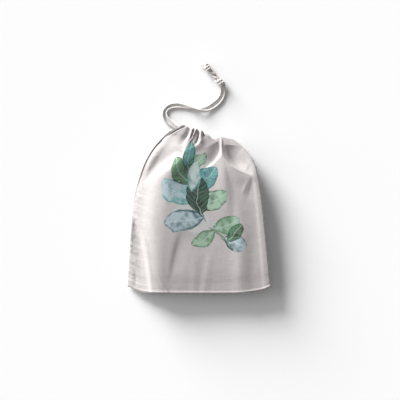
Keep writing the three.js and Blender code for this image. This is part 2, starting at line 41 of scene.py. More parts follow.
# Camera
# A still-life camera on a stand, straight above the bag and far enough off that no side of it shows. The
# picture's width and centre hold at a level a little above the table, where most of the outline lies.
PICTURE_WIDTH = 0.699
PICTURE_CENTRE = (0.0018, 0.0175)
PICTURE_LEVEL = 10 * MM
CAMERA_HEIGHT = 3.0
SENSOR = 36.0
overhead = bpy.data.cameras.new("overhead_camera")
overhead.sensor_width = SENSOR
overhead.lens = SENSOR * (CAMERA_HEIGHT - PICTURE_LEVEL) / PICTURE_WIDTH
camera = bpy.data.objects.new("overhead_camera", overhead)
camera.location = (*PICTURE_CENTRE, CAMERA_HEIGHT)
bpy.context.scene.collection.objects.link(camera)
bpy.context.scene.camera = camera


# Drawcord tails
# One soft cotton cord of three laid strands is threaded through both hems. Its two ends leave at the top
# of the left seam and lie on the surface side by side, the front's tail first rolling down off the bag.
CORD = 3.8 * MM
STRAND_GROOVE = 0.2
STRAND_PITCH = 11 * MM
# the share of its area that a cord keeps at its rounded tip, and a curve's points between two given ones
TIP_AREA = 0.02
BLENDS = 30
# The tails' routes through the middle of the cord, in mm, from the gap in the seam to the start of the twist.
UPPER_TAIL = [
    (-30.75, 142.12, 16.05), (-34.4, 145.3, 16.05), (-38.6, 149, 13), (-42.6, 152.4, 8.4),
    (-49, 157.2, 4.2), (-54.8, 163.4, 2.6), (-56.8, 169.8, 1.95), (-53.6, 175.6, 1.95),
    (-46.4, 178.8, 1.95), (-36.7, 179.8, 1.95), (-26.2, 178.8, 1.95), (-15.7, 177.3, 1.95),
    (-3.5, 176.7, 1.95), (7.4, 178.6, 1.95), (17, 182.6, 1.95), (25, 188.4, 1.95),
    (32.6, 194.6, 1.95), (37.2, 202.4, 1.95), (39, 211, 2.4),
]
LOWER_TAIL = [
    (-34.95, 138.47, 3.85), (-38.6, 141.2, 3.85), (-47.4, 147, 2.8), (-55.6, 152.4, 1.95),
    (-62, 160.6, 1.95), (-63.4, 170.4, 1.95), (-59.4, 179, 1.95), (-51.4, 184.6, 1.95),
    (-40.8, 186.6, 1.95), (-29.7, 185.4, 2.7), (-19.2, 182.2, 5.4), (-8.7, 178.2, 7.5),
    (1.7, 175, 7.5), (12.2, 173.8, 4.6), (22.7, 176.6, 2.5), (31.8, 182.8, 1.95),
    (38.8, 189.8, 1.95), (43.4, 197.6, 1.95), (45.2, 205, 2), (45.2, 213.6, 3.6),
]
# Sizes in mm. turn and settle are shares of the twist's length: over the first the lower tail takes its
# extra turn, and over the second both tails close up again. out and in are what they were set apart by.
TWIST = {"from": (40.2, 219.6), "to": (18.6, 245), "height": 4.6, "radius": 2.3, "turns": 1.6, "points": 41}
HITCH = {"turn": (0.02, 0.3), "settle": (0.33, 0.42), "out": 2.4, "in": 2.2, "lift": 2.1}


def within(share, low, full):
    """0 below low, 1 above full and a smooth step between."""
    t = np.clip((share - low) / (full - low), 0, 1)
    return t * t * (3 - 2 * t)


def twisted(phase, hitches):
    """A helix about the straight line between TWIST's two points. Near its start the tail that hitches takes
    one more turn, right round the other one, which keeps to the middle there."""
    start, end = np.array(TWIST["from"]), np.array(TWIST["to"])
    along = (end - start) / np.linalg.norm(end - start)
    right = np.array([along[1], -along[0]])
    share = np.linspace(0, 1, TWIST["points"])
    swell = 1 - within(share, *HITCH["settle"])
    radius = TWIST["radius"] + (HITCH["out"] if hitches else -HITCH["in"]) * swell
    extra = within(share, *HITCH["turn"]) if hitches else 0
    angle = 2 * np.pi * (phase + TWIST["turns"] * share + extra)
    flat = start + np.outer(share, end - start) + (radius * np.cos(angle))[:, None] * right
    return np.column_stack([flat, TWIST["height"] + HITCH["lift"] * swell + radius * np.sin(angle)])


def smooth_route(points, step):
    """A curve through points in mm, returned in metres at an even step.

    Between two points it is the centripetal Catmull-Rom curve: three straight blends, each of the two
    below it, where a point's knot is the running sum of the square roots of the distances.
    """
    p = np.array(points, float)
    p = np.vstack([2 * p[0] - p[1], p, 2 * p[-1] - p[-2]])
    knot = np.concatenate([[0], np.cumsum(np.linalg.norm(np.diff(p, axis=0), axis=1) ** 0.5)])
    first = np.repeat(np.arange(len(p) - 3), BLENDS)
    share = np.tile(np.arange(BLENDS) / BLENDS, len(p) - 3)
    at = knot[first + 1] + share * (knot[first + 2] - knot[first + 1])

    def blend(low, high, i, j):
        t = ((at - knot[i]) / (knot[j] - knot[i]))[:, None]
        return low * (1 - t) + high * t

    line = [blend(p[first + i], p[first + i + 1], first + i, first + i + 1) for i in range(3)]
    bend = [blend(line[i], line[i + 1], first + i, first + i + 2) for i in range(2)]
    curve = np.vstack([blend(bend[0], bend[1], first + 1, first + 2), p[-2]]) * MM
    run = np.concatenate([[0], np.cumsum(np.linalg.norm(np.diff(curve, axis=0), axis=1))])
    even = np.linspace(0, run[-1], max(int(run[-1] / step), 4) + 1)
    return np.column_stack([np.interp(even, run, curve[:, i]) for i in range(3)])


def grid_faces(rows, columns, start=0):
    """Quads between neighbouring points of a grid stored row after row."""
    j, i = np.meshgrid(np.arange(rows - 1), np.arange(columns - 1), indexing="ij")
    corner = (start + j * columns + i).ravel()
    return np.column_stack([corner, corner + 1, corner + columns + 1, corner + columns])


def new_piece(name, points, faces, material, slot):
    """A smooth mesh at the origin from arrays of points and faces, riding on the bag."""
    mesh = bpy.data.meshes.new(name)
    mesh.from_pydata(points.tolist(), [], [tuple(f) for f in faces])
    mesh.polygons.foreach_set("use_smooth", np.ones(len(mesh.polygons), bool))
    mesh.materials.append(material)
    piece = bpy.data.objects.new(name, mesh)
    bpy.context.scene.collection.objects.link(piece)
    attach(piece, "root")
    return piece


def strand_tube(route, diameter, sides=24):
    """A tube of three laid strands along a route, with rounded ends.

    Its radius is the cord's, less a groove that follows the size of the cosine of one and a half times
    the angle, turned once round in each pitch. At both ends it shrinks along a quarter circle, to a tip
    with a small share of the cord's area.
    """
    ahead = np.gradient(route, axis=0)
    ahead /= np.linalg.norm(ahead, axis=1)[:, None]
    side = np.cross(ahead, (0, 0, 1))
    side /= np.linalg.norm(side, axis=1)[:, None]
    above = np.cross(side, ahead)
    run = np.concatenate([[0], np.cumsum(np.linalg.norm(np.diff(route, axis=0), axis=1))])
    angle = np.arange(sides) * 2 * np.pi / sides
    lay = angle[None, :] - 2 * np.pi * run[:, None] / STRAND_PITCH
    radius = diameter / 2 * (1 - STRAND_GROOVE * (1 - np.abs(np.cos(1.5 * lay))))
    to_end = np.clip(np.minimum(run, run[-1] - run) / (diameter / 2), 0, 1)
    radius = radius * np.sqrt(TIP_AREA + (1 - TIP_AREA) * (1 - (1 - to_end) ** 2))[:, None]
    ring = np.cos(angle)[None, :, None] * side[:, None, :] + np.sin(angle)[None, :, None] * above[:, None, :]
    points = (route[:, None, :] + radius[:, :, None] * ring).reshape(-1, 3)
    rings = len(route)
    j, i = np.meshgrid(np.arange(rings - 1), np.arange(sides), indexing="ij")
    a, b = j * sides + i, j * sides + (i + 1) % sides
    faces = np.stack([a, a + sides, b + sides, b], axis=-1).reshape(-1, 4).tolist()
    faces.append(list(range(sides)))
    faces.append(list(range((rings - 1) * sides, rings * sides))[::-1])
    return points, faces


def linear(colour):
    """An sRGB hex colour as linear red, green, blue and alpha."""
    channels = [int(colour[i:i + 2], 16) / 255 for i in (1, 3, 5)]
    return (*[c / 12.92 if c <= 0.04045 else ((c + 0.055) / 1.055) ** 2.4 for c in channels], 1.0)


def add(tree, kind, values=(), links=(), **settings):
    """A shader node with its settings, its inputs' values and the outputs that feed them. A Mix node's two
    colours are its inputs 6 and 7 and its result is output 2."""
    node = tree.nodes.new("ShaderNode" + kind)
    for key, value in settings.items():
        setattr(node, key, value)
    for key, value in dict(values).items():
        node.inputs[key].default_value = value
    for key, source in dict(links).items():
        tree.links.new(source, node.inputs[key])
    return node


def new_material(name):
    """An empty material with a principled shader wired to its output."""
    material = bpy.data.materials.new(name)
    material.use_nodes = True
    tree = material.node_tree
    tree.nodes.clear()
    surface = add(tree, "BsdfPrincipled")
    add(tree, "OutputMaterial", links={"Surface": surface.outputs["BSDF"]})
    return material, tree, surface


def soft_cotton_cord():
    """Bleached cotton yarn, loosely laid: off-white and quite matt, with fine fibres along each strand
    that catch a soft edge of light and let some of it through. The fibre noise is 1.1 mm wide, with finer
    grain in it."""
    material, tree, surface = new_material("bleached cotton cord, three-strand laid")
    place = add(tree, "TexCoord").outputs["Object"]
    fibre = add(tree, "TexNoise", {"Scale": 900.0, "Detail": 3.0, "Roughness": 0.6}, {"Vector": place})
    tone = add(tree, "TexNoise", {"Scale": 60.0, "Detail": 2.0}, {"Vector": place})
    shade = add(tree, "MapRange", {"From Min": 0.3, "From Max": 0.7, "To Min": 0.0, "To Max": 1.0},
                {"Value": tone.outputs["Fac"]})
    colour = add(tree, "Mix", {6: linear("#c0bcb9"), 7: linear("#d2ceca")}, {0: shade.outputs["Result"]},
                 data_type="RGBA")
    bump = add(tree, "Bump", {"Strength": 0.5, "Distance": 0.25 * MM}, {"Height": fibre.outputs["Fac"]})
    tree.links.new(colour.outputs[2], surface.inputs["Base Color"])
    tree.links.new(bump.outputs["Normal"], surface.inputs["Normal"])
    surface.inputs["Roughness"].default_value = 0.92
    surface.inputs["Subsurface Weight"].default_value = 0.6
    surface.inputs["Subsurface Radius"].default_value = (1, 0.95, 0.9)
    surface.inputs["Subsurface Scale"].default_value = 3 * MM
    surface.inputs["Specular IOR Level"].default_value = 0.2
    surface.inputs["Sheen Weight"].default_value = 0.2
    surface.inputs["Sheen Roughness"].default_value = 0.5
    return material


CORD_MATERIAL = soft_cotton_cord()
upper_route = smooth_route([*UPPER_TAIL, *twisted(phase=0.5, hitches=False)], step=0.8 * MM)
lower_route = smooth_route([*LOWER_TAIL, *twisted(phase=0, hitches=True)], step=0.8 * MM)
upper_tail = new_piece("upper_tail", *strand_tube(upper_route, CORD), CORD_MATERIAL, "cord_cotton")
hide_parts("drawcord_upper_tail")
lower_tail = new_piece("lower_tail", *strand_tube(lower_route, CORD), CORD_MATERIAL, "cord_cotton")
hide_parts("drawcord_lower_tail")


# Knot
# Both tails are tied together in one overhand knot: they run through its middle side by side, one end is
# wound twice round them, and two short ends stick out past it.
KNOT_RISE = 6.45
PULLED_TIGHT = 3.4 * MM
KNOT_CORE = {"start": -3, "end": 13.5, "apart": 1.7, "points": 5}
KNOT_WRAP = {"start": 1.6, "end": 11.2, "turns": 2.15, "radius": 4, "phase": 0.1, "points": 26}
KNOT_END = 0.9 * CORD
KNOT_END_ROUTES = [
    [(12.4, 1.8, 6.2), (14.4, 3, 5.4), (16.6, 3.6, 3.6), (18.4, 3.4, 2.2)],
    [(12.4, -1.8, 6.0), (13.8, -3.4, 5.0), (15, -5.4, 3.6), (15.8, -7.2, 2.1)],
]


def along_knot(points):
    """Points given as mm along the twist's axis past its end, across it and up, turned into the frame."""
    start, end = np.array(TWIST["from"]), np.array(TWIST["to"])
    ahead = (end - start) / np.linalg.norm(end - start)
    right = np.array([ahead[1], -ahead[0]])
    p = np.array(points, float)
    return np.column_stack([end + np.outer(p[:, 0], ahead) + np.outer(p[:, 1], right), p[:, 2]])


def join_parts(parts):
    """Several point and face lists as one."""
    points, faces, count = [], [], 0
    for part_points, part_faces in parts:
        points.append(part_points)
        faces += [[index + count for index in face] for face in part_faces]
        count += len(part_points)
    return np.vstack(points), faces


knot_parts = []
for side in (-1, 1):
    through = np.linspace(KNOT_CORE["start"], KNOT_CORE["end"], KNOT_CORE["points"])
    core = [(a, side * KNOT_CORE["apart"], KNOT_RISE) for a in through]
    knot_parts.append(strand_tube(smooth_route(along_knot(core), step=0.6 * MM), PULLED_TIGHT, sides=16))
wind = np.linspace(0, 1, KNOT_WRAP["points"])
turn = 2 * np.pi * (KNOT_WRAP["phase"] + KNOT_WRAP["turns"] * wind)
wrap = np.column_stack([
    KNOT_WRAP["start"] + (KNOT_WRAP["end"] - KNOT_WRAP["start"]) * wind,
    KNOT_WRAP["radius"] * np.cos(turn),
    KNOT_RISE + KNOT_WRAP["radius"] * np.sin(turn),
])
knot_parts.append(strand_tube(smooth_route(along_knot(wrap), step=0.6 * MM), PULLED_TIGHT, sides=16))
for end in KNOT_END_ROUTES:
    knot_parts.append(strand_tube(smooth_route(along_knot(end), step=0.5 * MM), KNOT_END, sides=16))
knot = new_piece("overhand_knot", *join_parts(knot_parts), CORD_MATERIAL, "cord_cotton")
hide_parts("knot")


# Drawcord inside the hems
# The same cord between its two exits: along the front hem, round inside the right corner and back along
# the hem underneath.
HELD_ROUTE = [
    (-30.4, 141.8, 16.05), (-26.6, 138.4, 16.05), (-19.6, 135.6, 16.05), (-11, 133.4, 16.05),
    (-1.6, 129.6, 16.05), (8.4, 124.4, 16.05), (18.6, 119, 16.05), (28, 116.6, 16.05),
    (38, 118, 16.05), (47.4, 117.6, 16.05), (54.6, 113.6, 13.6), (57, 107.6, 9.6), (52.4, 102.2, 5.6),
    (44.6, 100.8, 3.9), (34, 103.6, 3.85), (22, 109.4, 3.75), (8, 117.4, 3.75),
    (-6, 124.6, 3.75), (-20, 130, 3.75), (-29.4, 134.2, 3.75), (-34.6, 138.2, 3.85),
]
held_route = smooth_route(HELD_ROUTE, step=1.2 * MM)
held_cord = new_piece("held_cord", *strand_tube(held_route, CORD, sides=16), CORD_MATERIAL, "cord_cotton")
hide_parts("drawcord_in_hems")


# Front panel
# A rectangle of plain-weave cotton, 250 by 300 mm, sewn to the back at the sides and bottom. Its hemmed
# top is drawn together to the upper left, so folds fan out of the mouth, and light contents round it up.
CLOTH = 1.1 * MM
# in mm: the flat cloth and its hem, the heights of the cloth turned inside and of the cloth over the cord,
# how far the mouth rolls out, what its line stands out for each mm of height, and the front's lowest height
FLAT_WIDTH = 250
FLAT_HEIGHT = 300
HEM_DEPTH = 16
FRONT_HEM_LEVEL = 12.9
FRONT_CASING_LEVEL = 19.2
FRONT_LIP = 2.4
FRONT_RUFFLE = 0.4
LOWEST_FRONT = 9


def table(names, *rows):
    """Columns by name from rows of numbers."""
    return dict(zip(names.split(), np.array(rows, float).T))


# share of the seam's length, its place in plan, and the heights of the front's and the back's edge there
LEFT_SEAM = table(
    "up x y front back",
    (0, -125, -132.8, 5.3, 4.8),
    (0.14, -122.5, -91, 5.8, 5.3),
    (0.29, -119.5, -44, 6.3, 5.8),
    (0.48, -113, 17, 6.8, 6.3),
    (0.6, -104, 51, 6.8, 6.3),
    (0.7, -93.5, 80, 6.8, 6.3),
    (0.82, -75, 110.5, 7.6, 7.1),
    (0.88, -62, 124, 10.5, 10),
    (0.915, -54, 132.5, 15, 9.5),
    (0.945, -45.8, 139.3, 21.4, 0.6),
    (1, -29.3, 147.8, 21, 0.6),
)
RIGHT_SEAM = table(
    "up x y front back",
    (0, 125, -132.8, 7.3, 6.8),
    (0.23, 119, -72, 10.3, 9.8),
    (0.36, 115.5, -37, 11.3, 10.8),
    (0.54, 110, 12, 11.8, 11.3),
    (0.67, 105, 47, 11.8, 11.3),
    (0.76, 99.5, 71.5, 11.8, 11.3),
    (0.84, 92, 89, 11.8, 11.3),
    (0.94, 74.5, 111.5, 11.8, 11.3),
    (1, 60, 122.5, 12.2, 10.9),
)
BOTTOM_SEAM = table(
    "across x y",
    (0, -125, -132.8),
    (0.06, -110, -140),
    (0.14, -92, -144.2),
    (0.4, -20, -146),
    (0.74, 61, -145.6),
    (0.9, 101, -141.4),
    (0.97, 117, -137),
    (1, 125, -132.8),
)
MOUTH = table(
    "across x y",
    (0, -29.3, 147.8),
    (0.14, -16, 141.6),
    (0.3, -2.5, 137.6),
    (0.45, 12, 130.5),
    (0.58, 25.5, 122.4),
    (0.7, 37.5, 125.8),
    (0.86, 49, 124.6),
    (1, 60, 122.5),
)
# place is the share of the way in plan, rise the share of the way up to the crown
FRONT_ACROSS = table(
    "across place rise",
    (0, 0, 0),
    (0.022, 0.015, 0.08),
    (0.06, 0.047, 0.24),
    (0.1, 0.08, 0.42),
    (0.145, 0.118, 0.64),
    (0.19, 0.155, 0.82),
    (0.24, 0.2, 0.95),
    (0.29, 0.25, 1.01),
    (0.36, 0.32, 1),
    (0.46, 0.43, 0.95),
    (0.56, 0.55, 0.92),
    (0.68, 0.69, 0.93),
    (0.77, 0.79, 0.95),
    (0.85, 0.89, 0.94),
    (0.885, 0.935, 0.95),
    (0.915, 0.97, 1.01),
    (0.933, 0.992, 1),
    (0.95, 0.997, 0.76),
    (0.975, 0.9985, 0.36),
    (0.99, 0.9995, 0.07),
    (1, 1, 0),
)
FRONT_UP = table(
    "up place rise crown",
    (0, 0, 0, 28),
    (0.008, 0.001, 0.12, 28),
    (0.024, 0.002, 0.5, 28),
    (0.04, 0.003, 0.84, 28),
    (0.048, 0.0055, 1.01, 28.2),
    (0.053, 0.009, 1.045, 28.3),
    (0.061, 0.015, 1.01, 28.4),
    (0.075, 0.028, 0.985, 28.8),
    (0.11, 0.062, 0.985, 29.4),
    (0.17, 0.12, 1, 30.5),
    (0.3, 0.265, 1, 32),
    (0.55, 0.54, 1, 33.5),
    (0.75, 0.75, 1, 32),
    (0.88, 0.88, 1, 27),
    (0.95, 0.95, 1, 24.5),
    (1, 1, 1, 22.5),
)
# height in mm, length in mm and start in radians of the waves that make the ripples
RIPPLES = [(0.5, 19, 0), (0.35, 8.3, 1.3), (0.25, 5.1, 0.4)]
# how many mm further on in them the right seam and the bottom one start
RIPPLE_START = {"right": 60, "bottom": 25}
SEAM_RIPPLE = 0.7
WALL_RIPPLE = 1.2
WALL_OUT = 0.6
# shares of the panel's height or width between which the ripples begin or fade
SEAM_BEGINS = (0.02, 0.08)
BOTTOM_FADES = (0, 0.04)
LEFT_FADES = (0.5, 0.62)
RIGHT_FADES = (0.8, 0.86)
WALL_BEGINS = (0.93, 0.945)
WALL_FADES = (0.84, 0.95)
BOTTOM_WALL_FADES = (0.04, 0.05)
# shares between which the folds begin beside the seams, the cloth comes to lie on the cord below the mouth,
# the cord turns down inside the right corner, and the turned hem reaches its full depth and loses it again
SEAM_MARGIN = 0.036
BOTTOM_MARGIN = (0.03, 0.05)
CASING_BEGINS = (0.91, 0.94)
CORD_TURNS = (0.84, 0.95)
BELOW_MOUTH = 0.95
HEM_OPENS = (-0.02, 0.06)
HEM_CLOSES = (0.62, 0.78)
HEM_LEAST = 0.1
# the hem's roll in degrees, its length in mm, and the shares of the depth at which its cloth lies back
HEM_CURL = (22, 45, 68, 90, 112, 135, 158, 180)
HEM_ROLL = 6
HEM_BACK = (0.15, 0.4, 0.7, 1)
ROUNDING = 0.01
CASING_ROUNDING = 1.1
# Each fold is a ridge (+) or trough (-) along a line from a to c that b bends, in mm: a, b and c in the
# shares (1 - t) squared, 2 t (1 - t) and t squared. Its rise is blended from three heights in the same
# way, and left and right are its half-widths on the two sides, at the start and the end.
FOLDS = table(
    "ax ay bx by cx cy rise_a rise_b rise_c left_a left_c right_a right_c",
    (-36.5, 129.5, -79.5, 113.5, -98, 49, 0.5, 5.2, 1, 8, 8, 8, 8),
    (-36.5, 108.5, -57.5, 85.5, -92.5, 56, 0, -15, -2, 9, 6, 12, 15),
    (-22.5, 106.5, -26, 78, -85.5, 49, 3, 7.2, 1, 15, 24, 4, 8),
    (-16, 140, -18.5, 128.5, -28, 116, -3.5, -8, -1.5, 1.3, 1.8, 4, 8),
    (-12.6, 141, -14, 128, -22, 113, 3, 2.6, 1.4, 1.6, 2.4, 1.4, 3),
    (-9.5, 138.5, -10.5, 133, -13.5, 124, -3.5, -7, -0.5, 1.1, 1.2, 1.1, 1.2),
    (-6, 140, -11, 126, -23.5, 108.5, 3, 1.6, 2.4, 1.5, 3, 1.5, 2.6),
    (-1.8, 138, 0.5, 128.5, -5, 117, -3.5, -7.5, -2.5, 1.2, 1.5, 1.2, 1.5),
    (2.6, 140, 3.4, 129, 3, 119.5, 3.4, 3, 2.6, 2, 4, 1.8, 2.2),
    (3, 121.5, 0, 109, -23.5, 105, 2, 1.8, 2.4, 6, 10, 2, 2.6),
    (7.6, 138, 7.4, 132, 11, 126, -3.5, -6.5, -0.5, 1.1, 1.2, 1.1, 1.2),
    (11.5, 137.5, 14, 129, 27, 119.5, 2.6, 2.4, 0.8, 1.5, 2.2, 1.5, 2.2),
    (15.5, 133, 17, 128.5, 23, 123, -2, -3, -0.3, 1, 1.1, 1, 1.1),
    (-25, 145.2, -42, 138, -60, 126, -3.4, -3.8, -2, 1.1, 1.1, 1.1, 1.1),
    (32.5, 119.5, 45, 95.5, 10.5, 73.5, 0, -13.8, -0.4, 2.2, 2, 13, 14),
    (27.5, 120.5, 30.5, 110, 35, 99.5, 0.6, 1.8, 0.6, 1.2, 1.2, 1.2, 1.2),
    (39, 124, 38.5, 109.5, 40, 93.5, 0.8, 4.3, 2.6, 2, 2.8, 1.8, 2.2),
    (40, 94.5, 34.5, 86.5, 12, 67.5, 2.6, 1.3, 0.3, 22, 26, 1.6, 2.6),
    (41, 87.5, 42.5, 47, 53, -24, 1.4, 5.7, 0.8, 7, 15, 14, 22),
    (41.5, 99.5, 43.5, 74, 87.5, 60.5, 2.6, 2.8, 2.2, 2.4, 4, 20, 20),
    (42, 96, 45.5, 75.5, 85.5, 62, 0.6, 4.4, 1.4, 1.3, 1.6, 1.4, 1.8),
    (52.5, 113.5, 50, 88, 82, 71.5, -0.6, -16, -2, 13, 13, 8, 5),
    (77, 112, 96, 99.5, 101.5, 52.5, 0.8, 4.3, 0.6, 6, 5, 20, 16),
    (89, 59.5, 83, 46.5, 73.5, 22.5, 0.4, 2.2, 0, 1.8, 2.6, 3.5, 6),
    (92.5, 56, 91.5, 41, 81.5, 15.5, -0.2, -1.7, 0, 6, 7, 3.2, 4),
    (-26, -35, -40, -68, -48, -122.5, 0, -3.3, -0.2, 16, 15, 7, 5.5),
    (-116, -10, -95, -60, -89, -142, 0, -12, -5.5, 4, 5, 13, 18),
    (-110, -14, -91, -60, -84, -142, 0.6, 2.6, 0.4, 5, 6, 2.4, 3),
    (-114, -98, -108, -117, -109, -136, 0, -5.5, -1, 5, 5, 5, 5),
    (-82, 35, -78.5, -51.5, -68, -141.5, 0, 1.5, 1, 12, 12, 10, 10),
    (-73.5, -110, -65.5, -127.5, -54, -141.5, 0.2, 2.5, 1.2, 1.8, 1.8, 1.8, 1.8),
    (62, 34, 77, -48, 71, -141.5, 0.5, 3.8, 1, 18, 16, 14, 12),
    (-5, -70, -7, -105, -10, -140, 0, 0.7, 0.3, 8, 8, 7, 7),
    (21, -66.5, 15, -106.5, 8.5, -140, 0, 0.9, 0.5, 7, 8, 6, 6),
    (92.5, -26, 92.5, -74.5, 92.5, -140, 0, -0.8, -0.3, 8, 8, 10, 10),
)
FOLD_STEPS = 14


def read(rows, key, column, at):
    """A column's smooth value between the rows: a cubic whose slopes follow the rows and never overshoot."""
    x, y = rows[key], rows[column]
    chord = np.diff(y) / np.diff(x)
    before, after = np.append(chord[0], chord), np.append(chord, chord[-1])
    most = 3 * np.minimum(np.abs(before), np.abs(after))
    slope = np.where(before * after > 0, np.sign(after) * np.minimum(np.abs(before + after) / 2, most), 0)
    i = np.clip(np.searchsorted(x, at, side="right") - 1, 0, len(x) - 2)
    width = x[i + 1] - x[i]
    t = (at - x[i]) / width
    s = t * t * (3 - 2 * t)
    bend = slope[i] * t * (1 - t) ** 2 - slope[i + 1] * t * t * (1 - t)
    return y[i] * (1 - s) + y[i + 1] * s + width * bend


def plan(across, up):
    """Where cloth lies in plan: the surface blended from the four edges, that is the two sides' blend plus
    the two ends' blend less the four corners' blend."""
    result = []
    for axis in "xy":
        sides = (1 - across) * read(LEFT_SEAM, "up", axis, up) + across * read(RIGHT_SEAM, "up", axis, up)
        bottom, mouth = (read(end, "across", axis, across) for end in (BOTTOM_SEAM, MOUTH))
        low = (1 - across) * BOTTOM_SEAM[axis][0] + across * BOTTOM_SEAM[axis][-1]
        high = (1 - across) * MOUTH[axis][0] + across * MOUTH[axis][-1]
        result.append(sides + (1 - up) * (bottom - low) + up * (mouth - high))
    return result


def ripples(run):
    """Uneven ripples along a seam that its thread draws in: three sine waves of unlike lengths, in mm."""
    waves = [h * np.sin(2 * np.pi * run / length + start) for h, length, start in RIPPLES]
    return waves[0] + waves[1] + waves[2]


def edge_height(across, up, panel):
    """The height of a panel's sewn edge line, blended from seam to seam, with the seams' ripples."""
    line = (1 - across) * read(LEFT_SEAM, "up", panel, up) + across * read(RIGHT_SEAM, "up", panel, up)
    v = up * FLAT_HEIGHT
    left = (1 - across) * ripples(v) * (1 - within(up, *LEFT_FADES))
    right = across * ripples(v + RIPPLE_START["right"]) * (1 - within(up, *RIGHT_FADES))
    end = ripples(across * FLAT_WIDTH + RIPPLE_START["bottom"]) * (1 - within(up, *BOTTOM_FADES))
    return line + SEAM_RIPPLE * ((left + right) * within(up, *SEAM_BEGINS) + end)


def fold_lift(x, y):
    """Height that the folds add at a place in plan: each is its rise times e to the power of minus the
    square of the distance from its line over its half-width there. Like folds are joined by the cube root
    of the sum of their cubes, so that where two meet the larger one rules."""
    ridges, troughs = np.zeros_like(x), np.zeros_like(x)
    t = np.linspace(0, 1, FOLD_STEPS + 1)
    for row in zip(*FOLDS.values()):
        ax, ay, bx, by, cx, cy, rise_a, rise_b, rise_c, left_a, left_c, right_a, right_c = row
        line_x = (1 - t) ** 2 * ax + 2 * t * (1 - t) * bx + t * t * cx
        line_y = (1 - t) ** 2 * ay + 2 * t * (1 - t) * by + t * t * cy
        nearest, along, side = np.full(x.shape, np.inf), np.zeros_like(x), np.zeros_like(x)
        for i in range(FOLD_STEPS):
            step_x, step_y = line_x[i + 1] - line_x[i], line_y[i + 1] - line_y[i]
            to_x, to_y = x - line_x[i], y - line_y[i]
            share = np.clip((to_x * step_x + to_y * step_y) / (step_x ** 2 + step_y ** 2), 0, 1)
            off = np.hypot(to_x - share * step_x, to_y - share * step_y)
            closer = off < nearest
            nearest = np.where(closer, off, nearest)
            along = np.where(closer, (i + share) / FOLD_STEPS, along)
            turned = (step_x * to_y - step_y * to_x) / (np.hypot(step_x, step_y) * np.maximum(off, 1e-6))
            side = np.where(closer, np.clip(turned, -1, 1), side)
        rise = (1 - along) ** 2 * rise_a + 2 * along * (1 - along) * rise_b + along ** 2 * rise_c
        left = (1 - along) * left_a + along * left_c
        right = (1 - along) * right_a + along * right_c
        width = (left + right) / 2 + side * (left - right) / 2
        height = rise * np.exp(-((nearest / width) ** 2))
        ridges += np.maximum(height, 0) ** 3
        troughs += np.maximum(-height, 0) ** 3
    return np.cbrt(ridges) - np.cbrt(troughs)


def soft_max(a, b, rounding):
    """The larger of two heights with the corner between them rounded off."""
    mix = np.clip(0.5 + (a - b) / (2 * rounding), 0, 1)
    return b + (a - b) * mix + rounding * mix * (1 - mix)


def front_plan(across, up):
    """The front's place in plan, its cloth standing steeper near the edges. The right and bottom walls
    ripple in and out, by four times the share of the rise times what is left of it, so most half-way up."""
    x, y = plan(read(FRONT_ACROSS, "across", "place", across), read(FRONT_UP, "up", "place", up))
    side, end = read(FRONT_ACROSS, "across", "rise", across), read(FRONT_UP, "up", "rise", up)
    side = 4 * side * (1 - side) * within(across, *WALL_BEGINS) * (1 - within(up, *WALL_FADES))
    end = 4 * end * (1 - end) * (1 - within(up, *BOTTOM_WALL_FADES))
    x = x + WALL_RIPPLE * side * (WALL_OUT + ripples(up * FLAT_HEIGHT + RIPPLE_START["right"]))
    y = y - WALL_RIPPLE * end * (WALL_OUT + ripples(across * FLAT_WIDTH + RIPPLE_START["bottom"]))
    return x, y


def off_seams(across, up):
    """0 along the three sewn edges, and 1 from 9 mm inside the side seams and 15 mm above the bottom one."""
    beside = within(across, 0, SEAM_MARGIN) * (1 - within(across, 1 - SEAM_MARGIN, 1))
    return beside * within(up, *BOTTOM_MARGIN)


def front_height(across, up):
    """The front's height: from the edge line up to the crown, plus the folds, and never down on the cord."""
    rise = read(FRONT_ACROSS, "across", "rise", across) * read(FRONT_UP, "up", "rise", up)
    edge = edge_height(across, up, "front")
    x, y = front_plan(across, up)
    free = edge + (read(FRONT_UP, "up", "crown", up) - edge) * rise + fold_lift(x, y) * off_seams(across, up)
    on_cord = within(up, *CASING_BEGINS) * (1 - within(across, *CORD_TURNS))
    lowest = np.minimum(edge, LOWEST_FRONT) * (1 - on_cord) + FRONT_CASING_LEVEL * on_cord
    return soft_max(free, lowest, ROUNDING * (1 - on_cord) + CASING_ROUNDING * on_cord)


